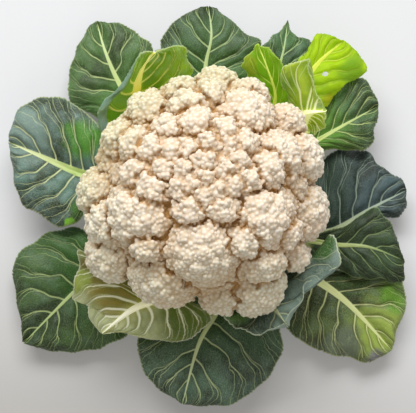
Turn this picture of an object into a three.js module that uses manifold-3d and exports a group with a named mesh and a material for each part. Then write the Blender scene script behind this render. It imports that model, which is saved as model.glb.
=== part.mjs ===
// A whole cauliflower, cut from its root and laid open: the white head of florets sits on a thick
// stalk, and sixteen leaves spread out round it. It stands on the flat cut end of the stalk.
// Millimetres, +Z up. The origin is the middle of the cut end, on the surface it stands on.
import * as THREE from "three";
import { ConvexHull } from "three/addons/math/ConvexHull.js";
import { mergeVertices } from "three/addons/utils/BufferGeometryUtils.js";
import Module from "manifold-3d";

const wasm = await Module();
wasm.setup();

const gap = 0.3; // left between pieces that meet
const rad = THREE.MathUtils.degToRad;
const up = new THREE.Vector3(0, 0, 1);

// Closed meshes as solids, for cutting one piece by its neighbour

function toSolid(geometry) {
  const bare = new THREE.BufferGeometry();
  bare.setAttribute("position", geometry.getAttribute("position"));
  bare.setIndex(geometry.index);
  const merged = mergeVertices(bare, 1e-3);
  return new wasm.Manifold(
    new wasm.Mesh({
      numProp: 3,
      vertProperties: new Float32Array(merged.attributes.position.array),
      triVerts: new Uint32Array(merged.index.array),
    }),
  );
}

// Of the bodies that a cut leaves, only the largest is the piece. The rest are crumbs.
function toGeometry(solid) {
  const bodies = solid.decompose();
  bodies.sort((a, b) => b.volume() - a.volume());
  const mesh = bodies[0].getMesh();
  const geometry = new THREE.BufferGeometry();
  geometry.setAttribute("position", new THREE.BufferAttribute(mesh.vertProperties, 3));
  geometry.setIndex(new THREE.BufferAttribute(mesh.triVerts, 1));
  return geometry;
}

// The stalk: a thick stem that flares into the branches that carry the florets

const stalkRadius = 24;
const stalkHeight = 36; // where the branches start to spread
const flareRadius = 50;
const flareHeight = 50;
const branchCount = 9;
const branchDepth = 0.07; // how far the grooves between branches cut in, as a share of the radius
const cutBevel = 1.5;

// The outline runs from the axis at the cut end, up the side, and back to the axis. Grown by a
// margin it is the space that the other pieces keep out of.
function stalkGeometry(grow = 0) {
  const outline = [
    [0, -grow],
    [stalkRadius - 2 * cutBevel + grow, -grow],
    [stalkRadius - cutBevel + grow, cutBevel],
    [stalkRadius + grow, 12],
    [stalkRadius + grow, stalkHeight - 8],
    [stalkRadius + 4 + grow, stalkHeight],
    [flareRadius * 0.72 + grow, flareHeight - 7],
    [flareRadius + grow, flareHeight],
    [flareRadius * 0.86, flareHeight + 4 + grow],
    [0, flareHeight + 4 + grow],
  ].map(([r, z]) => new THREE.Vector2(r, z));
  const stalk = new THREE.LatheGeometry(outline, 36);
  stalk.rotateX(Math.PI / 2);
  const p = stalk.getAttribute("position");
  for (let i = 0; i < p.count; i++) {
    const spread = THREE.MathUtils.smoothstep(p.getZ(i), stalkHeight - 8, flareHeight);
    const angle = Math.atan2(p.getY(i), p.getX(i));
    const groove = 1 - branchDepth * spread * (1 - Math.abs(Math.cos((branchCount * angle) / 2)));
    p.setXY(i, p.getX(i) * groove, p.getY(i) * groove);
  }
  return stalk;
}

// The head: florets packed over a dome, each covered in round knobs

const headCentre = new THREE.Vector3(0, 0, 72); // on the dome's widest level
const headRadius = 84;
const headTop = 58; // from the widest level up to the crown
const headUnder = 30; // and down to the underside
const creaseDepth = 13; // how far the deepest creases cut into the dome
const seenFrom = rad(80); // the florets' places are measured from this far above the horizon

// Florets as seen along that line of sight, from the dome's centre: across, up, and radius.
const florets = [
  // the crown
  [2, 15, 10], [-12, 11, 6], [14, 11, 7], [-6, 2, 6], [-13, 0, 6], [10, -1, 6], [18, 2, 7],
  [2, 6, 5], [1, -5, 6], [4, 26, 9], [-8, 24, 6], [16, 26, 7], [22, 17, 7], [28, 5, 7],
  // the first ring
  [-7, -13, 9], [11, -12, 9], [39, 11, 11], [25, 26, 8], [13, 34, 8], [-3, 37, 11],
  [-21, 36, 8], [-18, 22, 7], [-23, 12, 7], [-30, -1, 11], [-41, 9, 8], [-31, 22, 9],
  // the second ring
  [-41, 26, 11], [-8, 50, 13], [27, 46, 17], [47, 19, 15], [33, -18, 18], [0, -34, 19],
  [-35, -16, 18], [-36, -36, 9], [25, -32, 9], [53, -28, 11],
  // the outermost, which bulge out over the leaves
  [-35, 50, 15], [-53, 32, 13], [-66, -4, 18], [-60, -22, 17], [-61, -44, 17], [-25, -55, 22],
  [39, -46, 15], [15, -67, 17], [35, -65, 19], [62, -45, 10], [66, -15, 19], [64, 20, 17],
  [56, 44, 13], [10, 69, 15], [31, 62, 13], [4, 60, 12], [-13, 64, 11],
];

// The florets that curl in under the head, in an even ring.
const underCount = 12;
const underRing = 52;
const underDrop = 13;
const underRadius = 17;

// Small florets fill the hollows that the others leave.
const fillerRadius = 9.5;
const fillerSink = 7; // below the dome
const fillerApart = 0.95; // from another floret's middle, in that floret's radii
const fillerLowest = 54;
const fillerTries = 300;

const knobRadius = 6.6; // larger than life, so that few faces carry them
const knobSpacing = 1.62; // between neighbours, in knob radii
const knobStandOut = 1.6; // past the floret that carries them
const creaseApart = 2.6; // between points down in the creases

// The dome's half sizes, shrunk by a margin. It is flatter below its widest level.
function domeAxes(z, shrink) {
  const r = headRadius - shrink;
  return new THREE.Vector3(r, r, (z < 0 ? headUnder : headTop) - shrink);
}

// How far along a line from a point, both from the dome's centre, the dome's surface is. A line
// that passes it by stops where it comes nearest.
function domeReach(from, way, axes) {
  const p = from.clone().divide(axes);
  const d = way.clone().divide(axes);
  const nearest = -p.dot(d) / d.lengthSq();
  const room = nearest * nearest - (p.lengthSq() - 1) / d.lengthSq();
  return nearest + Math.sqrt(Math.max(room, 0));
}

// A floret touches the dome from inside, where the line of sight through it meets the dome.
function floretCentre([across, upward, radius]) {
  const towards = new THREE.Vector3(0, -Math.cos(seenFrom), Math.sin(seenFrom));
  const from = new THREE.Vector3(across, upward * Math.sin(seenFrom), upward * Math.cos(seenFrom));
  const reach = domeReach(from, towards, domeAxes(1, radius));
  return from.addScaledVector(towards, reach).add(headCentre);
}

// Ways out from a point, spread evenly over a ball.
function* goldenSpiral(count) {
  for (let i = 0; i < count; i++) {
    const z = 1 - (2 * i + 1) / count;
    const angle = i * Math.PI * (3 - Math.sqrt(5));
    const r = Math.sqrt(1 - z * z);
    yield new THREE.Vector3(r * Math.cos(angle), r * Math.sin(angle), z);
  }
}

function headSpheres() {
  const big = florets.map((f) => ({ centre: floretCentre(f), radius: f[2] }));
  for (let i = 0; i < underCount; i++) {
    const angle = (2 * Math.PI * (i + 0.5)) / underCount;
    const centre = new THREE.Vector3(Math.cos(angle), Math.sin(angle), 0).multiplyScalar(underRing);
    centre.add(headCentre).setZ(headCentre.z - underDrop);
    big.push({ centre, radius: underRadius });
  }
  for (const way of goldenSpiral(fillerTries)) {
    const centre = way.clone().multiply(domeAxes(way.z, fillerRadius + fillerSink)).add(headCentre);
    const room = big.every((other) => other.centre.distanceTo(centre) > fillerApart * other.radius);
    if (room && centre.z > fillerLowest) big.push({ centre, radius: fillerRadius });
  }
  const knobs = [];
  for (const floret of big) {
    if (floret.radius < 1.35 * knobRadius) {
      knobs.push(floret);
      continue;
    }
    const radius = knobRadius * (0.75 + 0.016 * floret.radius);
    const reach = floret.radius + knobStandOut - radius;
    const count = Math.round((4 * Math.PI * reach ** 2) / (knobSpacing * radius) ** 2);
    for (const way of goldenSpiral(count)) {
      const centre = floret.centre.clone().addScaledVector(way, reach);
      const hidden = big.some(
        (other) => other !== floret && other.centre.distanceTo(centre) < other.radius - 0.4 * radius,
      );
      if (!hidden) knobs.push({ centre, radius });
    }
  }
  return { big, knobs };
}

// How far the head reaches from its heart in one direction: to the outermost knob, or else to the
// smooth dome that the creases cut down to.
function headReach(heart, way, spheres) {
  const from = heart.clone().sub(headCentre);
  let reach = domeReach(from, way, domeAxes(1, creaseDepth));
  if (from.z + reach * way.z < 0) reach = domeReach(from, way, domeAxes(-1, creaseDepth));
  for (const { centre, radius } of spheres) {
    const to = centre.clone().sub(heart);
    const along = to.dot(way);
    const off = radius * radius - (to.lengthSq() - along * along);
    if (off > 0) reach = Math.max(reach, along + Math.sqrt(off));
  }
  return reach;
}

// The faces of the convex hull of points on a ball, each as three points.
function hullFaces(ways) {
  return new ConvexHull().setFromPoints(ways).faces.map((face) => {
    const corners = [];
    let edge = face.edge;
    do {
      corners.push(edge.head().point);
      edge = edge.next;
    } while (edge !== face.edge);
    return corners;
  });
}

// The surface gets a point at the top of each knob, points round its shoulder, and points down in
// the creases between it and its neighbours, so that the faces bend where the knobs do.
function headGeometry() {
  const heart = new THREE.Vector3(0, 0, flareHeight + 8);
  const { big, knobs } = headSpheres();
  const spheres = [...big.map((f) => ({ ...f, radius: f.radius - 1.5 })), ...knobs];
  const ways = [];
  const addWay = (way, apart) => {
    if (ways.every((other) => other.distanceTo(way) > apart)) ways.push(way);
  };
  const outer = knobs
    .map(({ centre, radius }) => {
      const offset = centre.clone().sub(heart);
      return { radius, distance: offset.length(), way: offset.clone().normalize() };
    })
    .filter(({ radius, distance, way }) => headReach(heart, way, spheres) < distance + radius + 0.5);
  for (const { distance, way } of outer) addWay(way, 4.5 / distance);
  for (const [a, b, c] of hullFaces([...ways])) {
    const middle = a.clone().add(b).add(c).normalize();
    addWay(middle, creaseApart / headReach(heart, middle, spheres));
    for (const [p, q] of [[a, b], [b, c], [c, a]]) {
      const crease = p.clone().add(q).normalize();
      addWay(crease, creaseApart / headReach(heart, crease, spheres));
    }
  }
  for (const { radius, distance, way } of outer) {
    const side = up.clone().cross(way).normalize();
    for (let k = 0; k < 6; k++) {
      const turn = side.clone().applyAxisAngle(way, (Math.PI * k) / 3);
      addWay(way.clone().addScaledVector(turn, (0.5 * radius) / distance).normalize(), 2.3 / distance);
    }
  }
  const position = [];
  for (const way of hullFaces(ways).flat()) {
    const point = heart.clone().addScaledVector(way, headReach(heart, way, spheres));
    position.push(point.x, point.y, point.z);
  }
  const geometry = new THREE.BufferGeometry();
  geometry.setAttribute("position", new THREE.Float32BufferAttribute(position, 3));
  return mergeVertices(geometry, 1e-4);
}

// Leaves: a thin blade on a thick rib, which grows from the side of the stalk

const bladeThickness = 1.2;
const petioleHalf = 7.5; // half the width of the stem between the stalk and the blade
const keelDepth = 5.5; // of the rib below the blade, where the blade starts
const petioleRows = 3;
const bladeRows = 11;
const toothDepth = 1.1; // each way, from one row of the margin to the next

// foot: the side of the stalk that it grows from, in degrees, and how high.
// rib: from the start of the blade to the tip.
// left, right: round the margin from the start of the blade, up to the tip.
// arch: how far the blade bulges up between the rib and the margin.
// wave: how far the margin waves up and down, and how many times.
const leaves = [
  {
    name: "leaf_left",
    foot: [166, 21],
    arch: 4,
    wave: [2, 4],
    rib: [[-64, 14, 25], [-87, 20, 27], [-114, 32, 28], [-137, 43, 24]],
    left: [
      [-78, -3, 27], [-88, -15, 29], [-98, -19, 28], [-113, -10, 26], [-126, -3, 24],
      [-132, 12, 23], [-136, 30, 23],
    ],
    right: [
      [-70, 29, 28], [-72, 37, 31], [-81, 54, 33], [-95, 69, 33], [-112, 75, 31],
      [-127, 69, 28], [-136, 56, 25],
    ],
  },
  {
    name: "leaf_upper_left",
    foot: [125, 11],
    arch: 3,
    wave: [1.5, 4],
    rib: [[-41, 56, 13], [-62, 91, 16], [-71, 112, 17], [-78, 136, 13]],
    left: [
      [-66, 57, 15], [-83, 67, 16], [-95, 73, 16], [-98, 85, 16], [-96, 100, 16],
      [-91, 118, 15], [-85, 130, 14],
    ],
    right: [
      [-37, 71, 15], [-34, 93, 16], [-36, 111, 16], [-42, 122, 16], [-52, 130, 15],
      [-66, 135, 14],
    ],
  },
  {
    name: "leaf_top",
    foot: [88, 11],
    arch: 3,
    wave: [1.5, 4],
    rib: [[2, 68, 14], [2, 102, 17], [6, 122, 20], [4, 146, 17]],
    left: [
      [-14, 75, 15], [-25, 97, 16], [-31, 117, 16], [-27, 128, 16], [-18, 138, 16],
      [-8, 144, 16],
    ],
    right: [
      [21, 76, 17], [37, 101, 18], [41, 120, 17], [31, 127, 17], [21, 135, 17],
      [12, 143, 17],
    ],
  },
  {
    name: "leaf_top_right",
    foot: [51, 11],
    arch: 2,
    wave: [1.5, 4],
    rib: [[38, 68, 13], [53, 95, 15], [59, 115, 16], [62, 137, 14]],
    left: [[33, 81, 11], [43, 101, 13], [44, 119, 14], [50, 123, 15], [56, 129, 15]],
    right: [[59, 78, 14], [70, 90, 15], [79, 102, 15], [81, 114, 15], [77, 123, 15], [70, 130, 15]],
  },
  {
    name: "leaf_right_backlit",
    foot: [58, 21],
    arch: 2,
    wave: [1.5, 4],
    rib: [[47, 57, 34], [68, 79, 38], [82, 97, 40], [100, 114, 36]],
    left: [
      [47, 73, 34], [62, 91, 37], [72, 104, 38], [77, 112, 39], [80, 118, 38],
      [87, 119, 38], [94, 116, 37],
    ],
    right: [
      [67, 55, 36], [84, 64, 38], [92, 72, 38], [98, 80, 38], [107, 85, 37],
      [115, 92, 36], [112, 103, 35], [107, 109, 35],
    ],
  },
  {
    name: "leaf_right_upper",
    foot: [17, 21],
    arch: 3,
    wave: [1.5, 4],
    rib: [[58, 30, 23], [77, 41, 26], [97, 53, 27], [125, 70, 22]],
    left: [[67, 49, 24], [82, 66, 26], [98, 83, 28], [113, 90, 27], [120, 83, 25], [124, 77, 23]],
    right: [
      [70, 28, 25], [83, 36, 26], [93, 37, 27], [106, 37, 26], [119, 39, 24],
      [122, 53, 22], [125, 61, 22],
    ],
  },
  {
    name: "leaf_right",
    foot: [-9, 11],
    arch: 2,
    wave: [3, 4],
    rib: [[72, -22, 16], [91, -20, 17], [117, -5, 18], [145, 10, 15]],
    left: [
      [76, -1, 16], [81, 21, 17], [92, 37, 18], [107, 39, 18], [119, 37, 18],
      [124, 28, 18], [133, 23, 18], [142, 17, 16],
    ],
    right: [
      [84, -29, 17], [103, -25, 17], [120, -14, 15], [130, -10, 16], [139, -9, 16],
      [145, -1, 15],
    ],
  },
  {
    name: "leaf_right_lower",
    foot: [-26, 21],
    arch: 2,
    wave: [2, 5],
    rib: [[71, -27, 25], [92, -31, 28], [114, -33, 31], [140, -42, 26]],
    left: [
      [80, -22, 27], [99, -18, 29], [119, -6, 31], [128, -12, 30], [133, -22, 29],
      [137, -32, 28],
    ],
    right: [
      [83, -43, 26], [99, -49, 27], [112, -48, 28], [124, -45, 28], [132, -52, 26],
      [138, -53, 25],
    ],
  },
  {
    name: "leaf_lower_right",
    foot: [-49, 11],
    arch: 3,
    wave: [2, 5],
    rib: [[62, -43, 14], [77, -53, 16], [99, -69, 18], [132, -103, 11]],
    left: [
      [81, -44, 12], [100, -47, 14], [121, -47, 17], [138, -53, 16], [143, -67, 15],
      [139, -81, 14], [135, -93, 13],
    ],
    right: [
      [51, -61, 14], [48, -77, 14], [61, -90, 14], [77, -102, 13], [96, -107, 12],
      [118, -111, 11],
    ],
  },
  {
    name: "leaf_bottom",
    foot: [-82, 21],
    arch: 3,
    wave: [2, 4],
    rib: [[15, -59, 24], [10, -77, 26], [-2, -98, 28], [-14, -140, 19]],
    left: [
      [34, -69, 26], [50, -82, 27], [55, -96, 27], [54, -105, 26], [47, -119, 24],
      [38, -129, 22], [24, -138, 20], [4, -142, 18],
    ],
    right: [
      [-9, -69, 26], [-29, -83, 27], [-44, -95, 27], [-44, -107, 26], [-41, -117, 24],
      [-31, -129, 21], [-23, -135, 19],
    ],
  },
  {
    name: "leaf_lower_left",
    foot: [-147, 11],
    arch: 4,
    wave: [2, 4],
    rib: [[-60, -39, 14], [-86, -59, 16], [-103, -76, 17], [-125, -98, 11]],
    left: [
      [-53, -58, 14], [-50, -77, 15], [-53, -93, 15], [-68, -100, 14], [-83, -104, 12],
      [-100, -104, 11], [-114, -102, 11],
    ],
    right: [
      [-74, -26, 14], [-87, -18, 15], [-100, -18, 15], [-114, -23, 15], [-128, -34, 14],
      [-135, -48, 12], [-132, -62, 12], [-129, -76, 11], [-127, -89, 11],
    ],
  },
  {
    name: "inner_leaf_upper_left",
    foot: [125, 33],
    arch: 2,
    wave: [1, 4],
    rib: [[-45, 56, 44], [-52, 66, 60], [-44, 77, 76], [-31, 91, 86]],
    left: [
      [-62, 42, 46], [-71, 26, 54], [-67, 37, 64], [-71, 47, 72], [-68, 57, 78],
      [-57, 68, 84], [-45, 81, 88], [-39, 89, 88],
    ],
    right: [[-24, 73, 48], [-8, 80, 58], [-9, 88, 70], [-12, 95, 80], [-20, 95, 84]],
  },
  {
    name: "inner_leaf_top_right",
    foot: [70, 33],
    arch: 2,
    wave: [1, 4],
    rib: [[47, 54, 44], [50, 68, 58], [44, 83, 70], [37, 99, 77]],
    left: [[41, 63, 50], [37, 75, 58], [32, 81, 62], [26, 86, 66], [29, 90, 70], [33, 95, 74]],
    right: [[59, 60, 54], [60, 71, 62], [57, 80, 68], [52, 89, 72], [45, 95, 75]],
  },
  {
    name: "inner_leaf_folded",
    foot: [32, 33],
    arch: -3,
    wave: [1, 4],
    rib: [[67, 47, 46], [68, 51, 64], [73, 50, 80], [80, 49, 86]],
    left: [
      [59, 58, 66], [54, 70, 78], [53, 80, 84], [62, 82, 88], [71, 84, 90],
      [71, 73, 88], [74, 63, 88], [78, 56, 87],
    ],
    right: [[72, 44, 58], [76, 39, 66], [80, 41, 74], [81, 44, 82]],
  },
  {
    name: "inner_leaf_lower_right",
    foot: [-56, 33],
    arch: -5,
    wave: [1.5, 5],
    rib: [[34, -56, 40], [43, -69, 46], [48, -78, 56], [54, -88, 66]],
    left: [
      [66, -47, 48], [81, -35, 58], [85, -30, 66], [91, -41, 66], [90, -51, 62],
      [77, -56, 58], [69, -62, 58], [66, -72, 60], [57, -81, 64],
    ],
    right: [
      [32, -71, 44], [20, -80, 52], [14, -82, 55], [22, -91, 58], [34, -94, 60],
      [46, -92, 63],
    ],
  },
  {
    name: "inner_leaf_lower_left",
    foot: [-114, 33],
    arch: -2,
    wave: [2, 5],
    rib: [[-24, -57, 40], [-30, -70, 46], [-47, -78, 50], [-68, -94, 45]],
    left: [
      [-9, -71, 46], [3, -79, 50], [6, -82, 52], [1, -90, 50], [-7, -97, 48],
      [-22, -99, 46], [-42, -96, 46], [-55, -93, 45],
    ],
    right: [
      [-62, -53, 44], [-73, -45, 50], [-84, -38, 54], [-83, -49, 52], [-86, -61, 50],
      [-88, -71, 48], [-78, -73, 47], [-76, -83, 46],
    ],
  },
];

// The rows across the leaf: the middle of the rib, the way it runs, and the margins' points.
function leafRows(leaf) {
  const [side, height] = leaf.foot;
  const out = new THREE.Vector3(Math.cos(rad(side)), Math.sin(rad(side)), 0);
  const ribPoints = leaf.rib.map((p) => new THREE.Vector3(...p));
  const foot = out.clone().multiplyScalar(stalkRadius - 5).setZ(height - 1);
  const neck = out.clone().multiplyScalar(stalkRadius + 10).setZ(height + 2);
  const petiole = new THREE.CatmullRomCurve3([foot, neck, ribPoints[0]], false, "centripetal");
  const rib = new THREE.CatmullRomCurve3(ribPoints, false, "centripetal");
  const sideways = (along) => up.clone().cross(along).normalize().multiplyScalar(petioleHalf);
  const margin = (points, sign) => {
    const first = ribPoints[0].clone().addScaledVector(sideways(rib.getTangentAt(0)), sign);
    const path = [first, ...points.map((p) => new THREE.Vector3(...p)), ribPoints.at(-1)];
    return new THREE.CatmullRomCurve3(path, false, "centripetal");
  };
  const margins = [margin(leaf.right, -1), margin(leaf.left, 1)];
  const rows = [];
  for (let i = 0; i < petioleRows; i++) {
    const centre = petiole.getPointAt(i / petioleRows);
    const along = petiole.getTangentAt(i / petioleRows);
    const ends = [-1, 1].map((sign) => centre.clone().addScaledVector(sideways(along), sign));
    rows.push({ t: 0, centre, along, ends });
  }
  for (let i = 0; i <= bladeRows; i++) {
    const t = Math.min(i / bladeRows, 0.985);
    const centre = rib.getPointAt(t);
    const tooth = i === 0 || i === bladeRows ? 0 : toothDepth * (-1) ** i;
    const ends = margins.map((edge) => {
      const end = edge.getPointAt(t);
      return end.clone().addScaledVector(end.clone().sub(centre).normalize(), tooth);
    });
    rows.push({ t, centre, along: rib.getTangentAt(t), ends });
  }
  return rows;
}

function leafGeometry(leaf) {
  const top = [];
  const under = [];
  for (const { t, centre, along, ends } of leafRows(leaf)) {
    const ribHalf = petioleHalf * (0.9 - 0.7 * t);
    const keel = keelDepth * (1 - t) ** 1.5 + 0.6;
    const reaches = ends.map((end) => end.clone().sub(centre));
    const facings = [reaches[0].clone().cross(along), along.clone().cross(reaches[1])];
    facings.forEach((facing) => facing.normalize());
    const middle = facings[0].clone().add(facings[1]).normalize();
    const row = [];
    const below = [];
    for (let j = -4; j <= 4; j++) {
      const side = j > 0 ? 1 : 0;
      const inner = Math.min(ribHalf / reaches[side].length(), 0.6);
      const share = [0, 0.55 * inner, inner, (1 + inner) / 2, 1][Math.abs(j)];
      const facing = j === 0 ? middle : facings[side];
      const [height, count] = leaf.wave;
      const ripple = Math.sin(2 * Math.PI * count * t + 2 * side) * Math.sin(Math.PI * t);
      const lift = 4 * share * (1 - share) * leaf.arch + height * share ** 2 * ripple;
      const point = centre.clone().addScaledVector(reaches[side], share);
      point.addScaledVector(facing, lift * THREE.MathUtils.smoothstep(t, 0, 0.2));
      const hang = keel * [1, 0.75, 0, 0, 0][Math.abs(j)];
      row.push(point.clone().addScaledVector(facing, bladeThickness / 2));
      below.push(point.clone().addScaledVector(facing, -bladeThickness / 2 - hang));
    }
    top.push(row);
    under.push(below);
  }
  return closedSheet(top, under);
}

// Two sheets of rows, split into triangles alike, with a wall round the edge.
function closedSheet(top, under) {
  const rows = top.length;
  const columns = top[0].length;
  const points = [...top.flat(), ...under.flat()];
  const lower = rows * columns;
  const at = (i, j) => i * columns + j;
  const index = [];
  const quad = (a, b, c, d) => index.push(a, b, c, a, c, d);
  for (let i = 0; i + 1 < rows; i++) {
    for (let j = 0; j + 1 < columns; j++) {
      const [a, b, c, d] = [at(i, j), at(i + 1, j), at(i + 1, j + 1), at(i, j + 1)];
      quad(a, b, c, d);
      index.push(lower + a, lower + c, lower + b, lower + a, lower + d, lower + c);
    }
    const edge = columns - 1;
    quad(at(i, 0), lower + at(i, 0), lower + at(i + 1, 0), at(i + 1, 0));
    quad(at(i, edge), at(i + 1, edge), lower + at(i + 1, edge), lower + at(i, edge));
  }
  for (let j = 0; j + 1 < columns; j++) {
    const last = rows - 1;
    quad(at(0, j), at(0, j + 1), lower + at(0, j + 1), lower + at(0, j));
    quad(at(last, j), lower + at(last, j), lower + at(last, j + 1), at(last, j + 1));
  }
  const geometry = new THREE.BufferGeometry();
  const position = points.flatMap((p) => p.toArray());
  geometry.setAttribute("position", new THREE.Float32BufferAttribute(position, 3));
  geometry.setIndex(index);
  return geometry;
}

// The pieces, each cut clear of the stalk

const finishes = {
  stalk: new THREE.MeshStandardMaterial({ color: 0xc3cf9a, roughness: 0.55 }),
  curd: new THREE.MeshStandardMaterial({ color: 0xf0e2c8, roughness: 0.75 }),
  leaf: new THREE.MeshStandardMaterial({ color: 0x3f6147, roughness: 0.6 }),
  inner_leaf: new THREE.MeshStandardMaterial({ color: 0x8fae4c, roughness: 0.6 }),
};

const cauliflower = new THREE.Group();

function add(name, geometry, finish) {
  const mesh = new THREE.Mesh(geometry, finishes[finish]);
  mesh.name = name;
  cauliflower.add(mesh);
}

const keepOut = toSolid(stalkGeometry(gap));
add("stalk", stalkGeometry(), "stalk");
add("curd", toGeometry(toSolid(headGeometry()).subtract(keepOut)), "curd");
for (const leaf of leaves) {
  const finish = leaf.name.startsWith("inner") ? "inner_leaf" : "leaf";
  add(leaf.name, toGeometry(toSolid(leafGeometry(leaf)).subtract(keepOut)), finish);
}

export default cauliflower;
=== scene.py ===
import math

import bmesh
import bpy
import numpy as np
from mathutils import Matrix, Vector
from mathutils.kdtree import KDTree


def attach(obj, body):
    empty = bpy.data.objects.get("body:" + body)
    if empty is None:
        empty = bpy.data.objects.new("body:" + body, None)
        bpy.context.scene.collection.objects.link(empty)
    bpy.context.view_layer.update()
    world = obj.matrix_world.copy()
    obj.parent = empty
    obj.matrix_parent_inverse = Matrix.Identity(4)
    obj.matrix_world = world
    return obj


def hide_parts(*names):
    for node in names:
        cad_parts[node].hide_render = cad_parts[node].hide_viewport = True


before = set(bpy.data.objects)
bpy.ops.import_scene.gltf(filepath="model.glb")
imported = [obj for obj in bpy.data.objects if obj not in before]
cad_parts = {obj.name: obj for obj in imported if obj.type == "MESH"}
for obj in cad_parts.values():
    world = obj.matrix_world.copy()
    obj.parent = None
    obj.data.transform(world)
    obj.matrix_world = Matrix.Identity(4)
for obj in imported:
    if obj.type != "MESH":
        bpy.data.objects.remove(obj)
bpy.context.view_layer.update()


# The room: a plain pale table under soft light from a wide window beyond the head and a weak one
# behind the viewer. The table is painted darker towards the viewer as painted shade, and glows
# faintly as painted light that lifts its shadows. The camera looks almost straight down.

MM = 0.001
LOOK_AT = Vector((3.6, -7.9, 50.0)) * MM
CAMERA_HEIGHT_DEG = 80.0
CAMERA_DISTANCE = 0.760
PICTURE_WIDTH = 0.2829  # what the picture spans across at that distance
TABLE_SIDE = 6.0
TABLE_SHADED_NEAR, TABLE_LIT_FAR = (0.30, 0.285, 0.26), (0.585, 0.59, 0.605)
ROOM_LIGHT, ROOM_STRENGTH = (1.0, 0.98, 0.94, 1.0), 0.33


def deselect():
    if bpy.context.object and bpy.context.object.mode != "OBJECT":
        bpy.ops.object.mode_set(mode="OBJECT")
    bpy.ops.object.select_all(action="DESELECT")


class Socket:
    """One output of a shader node. Python's operators on it add Math nodes."""

    tree = None

    def __init__(self, out):
        self.out = out

    @classmethod
    def node(cls, kind, settings=None, output=0, **inputs):
        """Any node: its settings are set first, then its inputs, named or numbered as i0, i1."""
        made = cls.tree.nodes.new("ShaderNode" + kind)
        for key, value in (settings or {}).items():
            setattr(made, key, value)
        for key, value in inputs.items():
            socket = made.inputs[int(key[1:]) if key[1:].isdigit() else key.replace("_", " ")]
            if isinstance(value, Socket):
                cls.tree.links.new(value.out, socket)
            else:
                socket.default_value = value
        return cls(made.outputs[output])

    def math(self, operation, *others):
        values = {f"i{n}": v for n, v in enumerate((self, *others))}
        return Socket.node("Math", {"operation": operation}, **values)

    def __add__(self, other):
        return self.math("ADD", other)

    def __mul__(self, other):
        return self.math("MULTIPLY", other)

    def __sub__(self, other):
        return self.math("SUBTRACT", other)

    def __truediv__(self, other):
        return self.math("DIVIDE", other)

    def __rsub__(self, other):
        return Socket.node("Math", {"operation": "SUBTRACT"}, i0=other, i1=self)

    __radd__ = __add__
    __rmul__ = __mul__

    def between(self, low, high):
        """0 below low, 1 above high, and smooth from one to the other."""
        return Socket.node(
            "MapRange", {"interpolation_type": "SMOOTHSTEP"}, Value=self, From_Min=low, From_Max=high
        )

    def mix(self, low, high):
        """The colour low where this is 0, and the colour high where it is 1."""
        low, high = [v if isinstance(v, Socket) else (*v, 1.0) for v in (low, high)]
        return Socket.node("Mix", {"data_type": "RGBA"}, output=2, i0=self, i6=low, i7=high)


def material(name, **fixed):
    """A new material, with its shader's plain values set on the shader's own sockets."""
    made = bpy.data.materials.new(name)
    made.use_nodes = True
    Socket.tree = made.node_tree
    shader = made.node_tree.nodes["Principled BSDF"]
    for key, value in fixed.items():
        shader.inputs[key.replace("_", " ")].default_value = value
    return made, shader


def feed(shader, **links):
    for key, value in links.items():
        Socket.tree.links.new(value.out, shader.inputs[key.replace("_", " ")])


def ways():
    """Object coordinates, whole and as their parts to the east and to the north."""
    place = Socket.node("TexCoord", output=3)
    return place, *(Socket.node("SeparateXYZ", output=k, Vector=place) for k in (0, 1))


def window(name, place, aim, size, watts, colour):
    bpy.ops.object.light_add(type="AREA", location=place)
    light = bpy.context.object
    light.name = name
    light.data.shape = "RECTANGLE"
    light.data.size, light.data.size_y = size
    light.data.energy = watts
    light.data.color = colour
    light.rotation_euler = (Vector(aim) - Vector(place)).to_track_quat("-Z", "Y").to_euler()


deselect()
bpy.ops.mesh.primitive_plane_add(size=TABLE_SIDE)
table = bpy.context.object
table.name = "table_top"
# Painted light and shade: a faint glow lifts the table's shadows, and its colour is painted darker
# near the viewer and a little to the left.
table_finish, shader = material(
    "pale_table", Roughness=0.7, Emission_Color=(1.0, 0.98, 0.95, 1.0), Emission_Strength=0.14
)
place, east, north = ways()
feed(shader, Base_Color=(north * 0.9 + east * 0.2).between(-0.22, 0.02).mix(TABLE_SHADED_NEAR, TABLE_LIT_FAR))
table.data.materials.append(table_finish)

tilt = math.radians(CAMERA_HEIGHT_DEG)
towards = Vector((0, -math.cos(tilt), math.sin(tilt)))
bpy.ops.object.camera_add(location=LOOK_AT + towards * CAMERA_DISTANCE)
camera = bpy.context.object
camera.rotation_euler = (math.pi / 2 - tilt, 0, 0)
camera.data.lens = camera.data.sensor_width * CAMERA_DISTANCE / PICTURE_WIDTH
bpy.context.scene.camera = camera

world = bpy.data.worlds.new("soft_room")
world.use_nodes = True
world.node_tree.nodes["Background"].inputs["Color"].default_value = ROOM_LIGHT
world.node_tree.nodes["Background"].inputs["Strength"].default_value = ROOM_STRENGTH
bpy.context.scene.world = world
window("window_light", (-0.16, 1.10, 1.30), (0, 0.02, 0.05), (1.9, 0.7), 35.0, (0.98, 0.99, 1.0))
window("room_fill", (0.20, -0.85, 0.75), (0, 0, 0.05), (1.2, 0.6), 1.9, (1.0, 0.97, 0.92))
bpy.context.scene.view_settings.view_transform = "Standard"


# The stalk: a thick, pale green stem with faint ribs, cut flat at its foot and flaring under the
# head into the branches that carry the florets. It is drawn up ring by ring from the cut end.

STALK_RINGS = [
    (21.0, 0.0), (22.5, 0.5), (23.6, 2.0), (24.0, 12.0), (24.0, 20.0), (24.2, 28.0), (28.0, 36.0),
    (32.0, 40.0), (36.0, 43.0), (43.0, 46.5), (49.5, 49.5), (46.0, 52.5), (36.0, 53.6),
]  # radius and height in mm, from the cut end up
BRANCHES, BRANCH_DEPTH = 9, 0.07
BRANCHES_FROM, BRANCHES_RISE = 28.0, 22.0
STEM_RIBS, RIB_DEPTH = 16, 0.006
STALK_GREEN, STALK_PALE = (0.42, 0.50, 0.24), (0.66, 0.68, 0.46)
PITH, PITH_PALE = (0.62, 0.58, 0.40), (0.80, 0.77, 0.60)


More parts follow.
